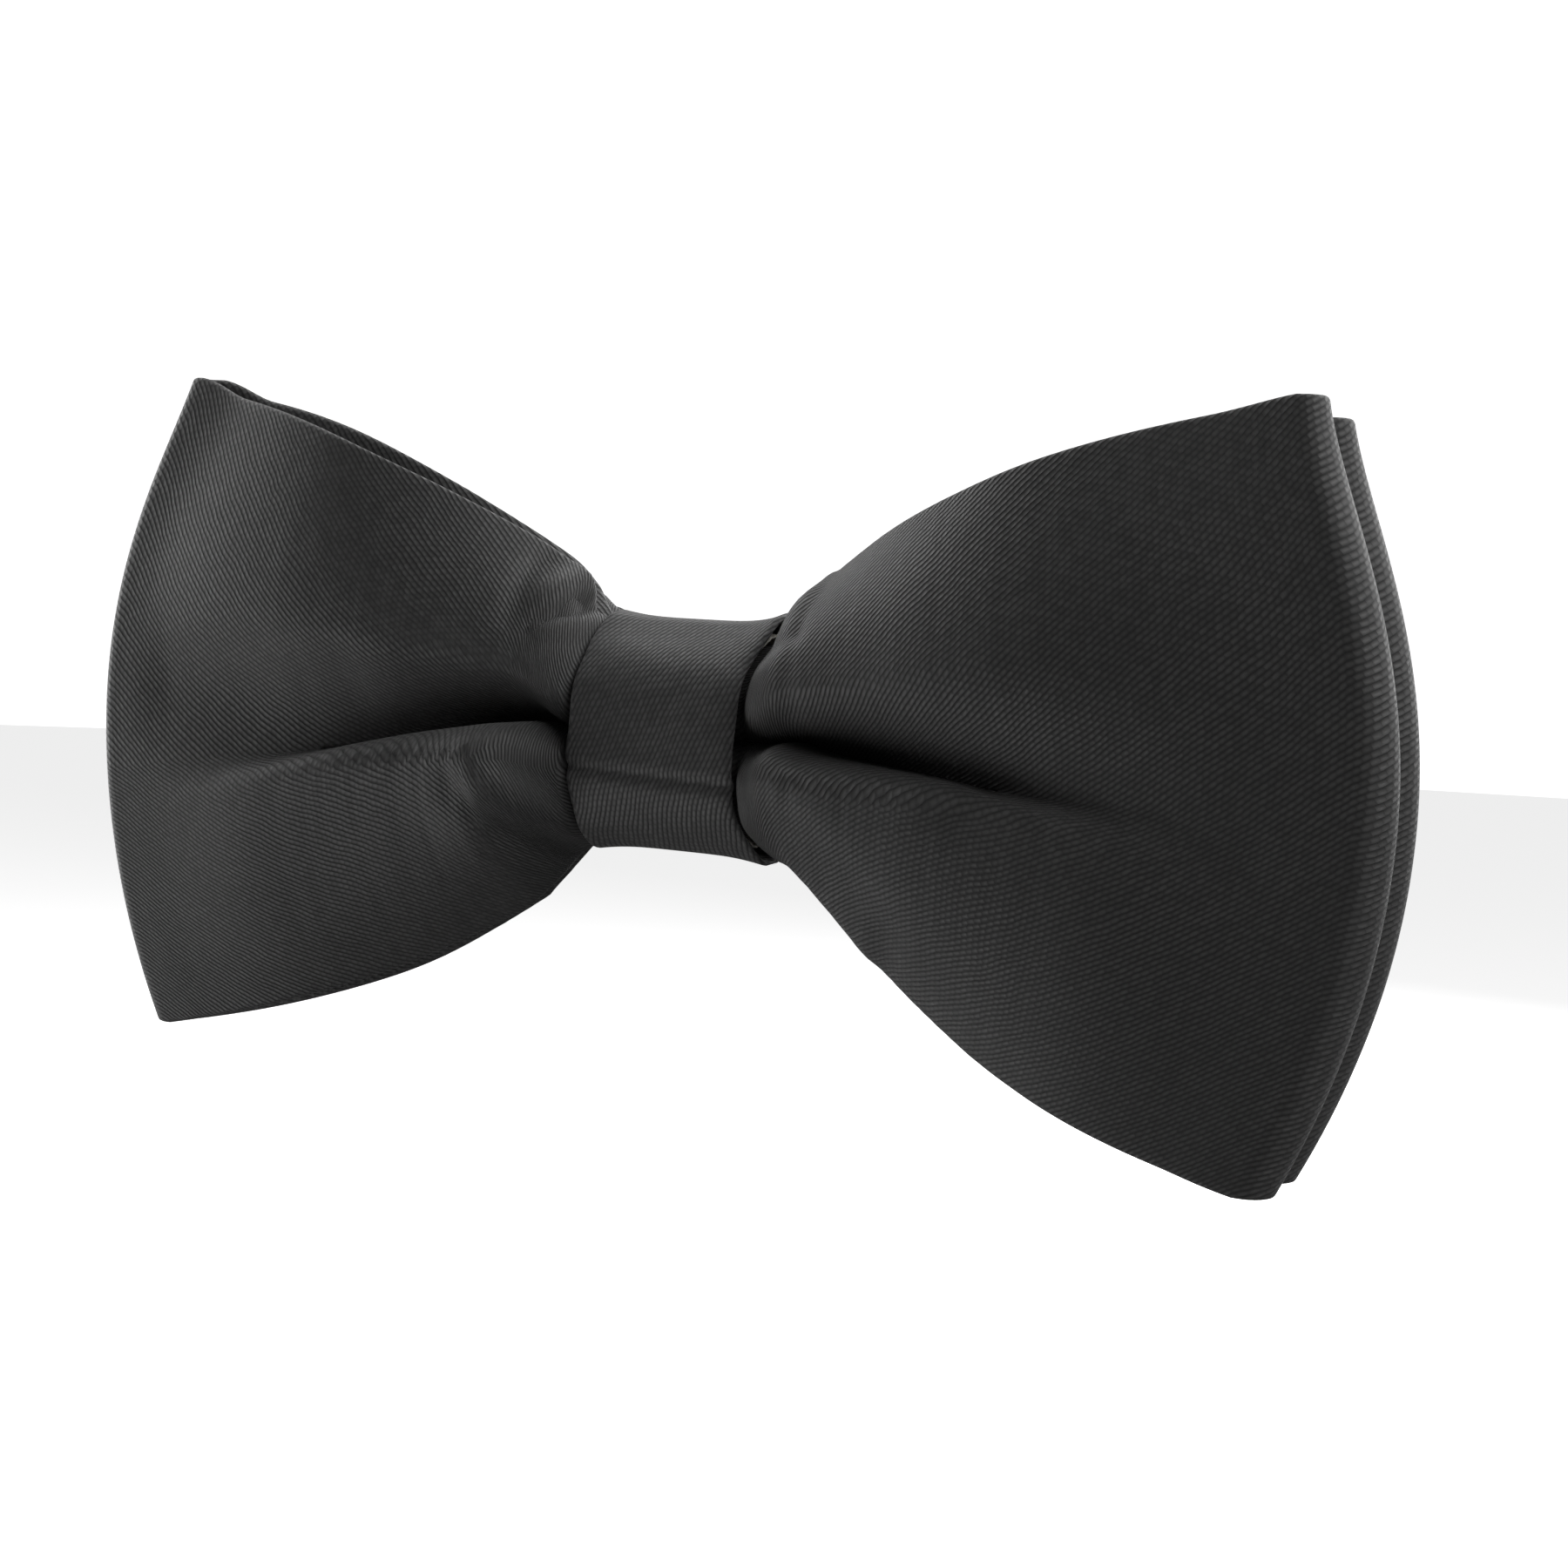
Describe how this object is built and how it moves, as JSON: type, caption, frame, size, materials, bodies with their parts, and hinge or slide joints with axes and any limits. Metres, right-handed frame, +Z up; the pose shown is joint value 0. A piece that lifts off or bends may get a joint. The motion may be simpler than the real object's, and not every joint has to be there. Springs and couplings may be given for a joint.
{
  "type": "clip-on bow tie",
  "caption": "Pre-tied satin bow tie of two stacked pleated loops held by a ribbon knot, with a sprung double clip behind that grips a shirt collar.",
  "frame": {"origin": "on the rear face of the clip plate, behind the middle of the knot, where the collar is gripped", "axes": "+X to the right seen from the front, along the bow; +Y points back towards the collar; +Z up as worn"},
  "size_m": [0.1184, 0.0223, 0.054],
  "materials": {
    "satin": "charcoal black satin, fine twill face with a soft sheen",
    "interlining": "matt woven stiffener",
    "thread": "black spun polyester thread",
    "clip_metal": "nickel-plated sheet steel",
    "spring_steel": "bright spring wire"
  },
  "bodies": {
    "bow": {"front_bow_shell": "satin", "front_bow_interlining": "interlining", "rear_bow_shell": "satin", "rear_bow_interlining": "interlining", "gather_thread": "thread", "knot_interlining": "interlining", "knot_wrap": "satin", "knot_tack_stitches": "thread", "clip_plate": "clip_metal", "clip_stitches": "thread", "left_hinge_pin": "clip_metal", "right_hinge_pin": "clip_metal", "left_spring": "spring_steel", "right_spring": "spring_steel"},
    "left_jaw": {"left_jaw": "clip_metal"},
    "right_jaw": {"right_jaw": "clip_metal"}
  },
  "joints": [
    {"name": "left_jaw_hinge", "type": "hinge", "parent": "bow", "child": "left_jaw", "pos_m": [-0.0112, 0.0034, 0], "axis": [0, 0, -1], "range_deg": [0, 35], "stiffness_Nm_per_rad": 0.03, "springref_deg": -57.3, "deforming": ["left_spring"]},
    {"name": "right_jaw_hinge", "type": "hinge", "parent": "bow", "child": "right_jaw", "pos_m": [0.0112, 0.0034, 0], "axis": [0, 0, 1], "range_deg": [0, 35], "stiffness_Nm_per_rad": 0.03, "springref_deg": -57.3, "deforming": ["right_spring"]}
  ]
}
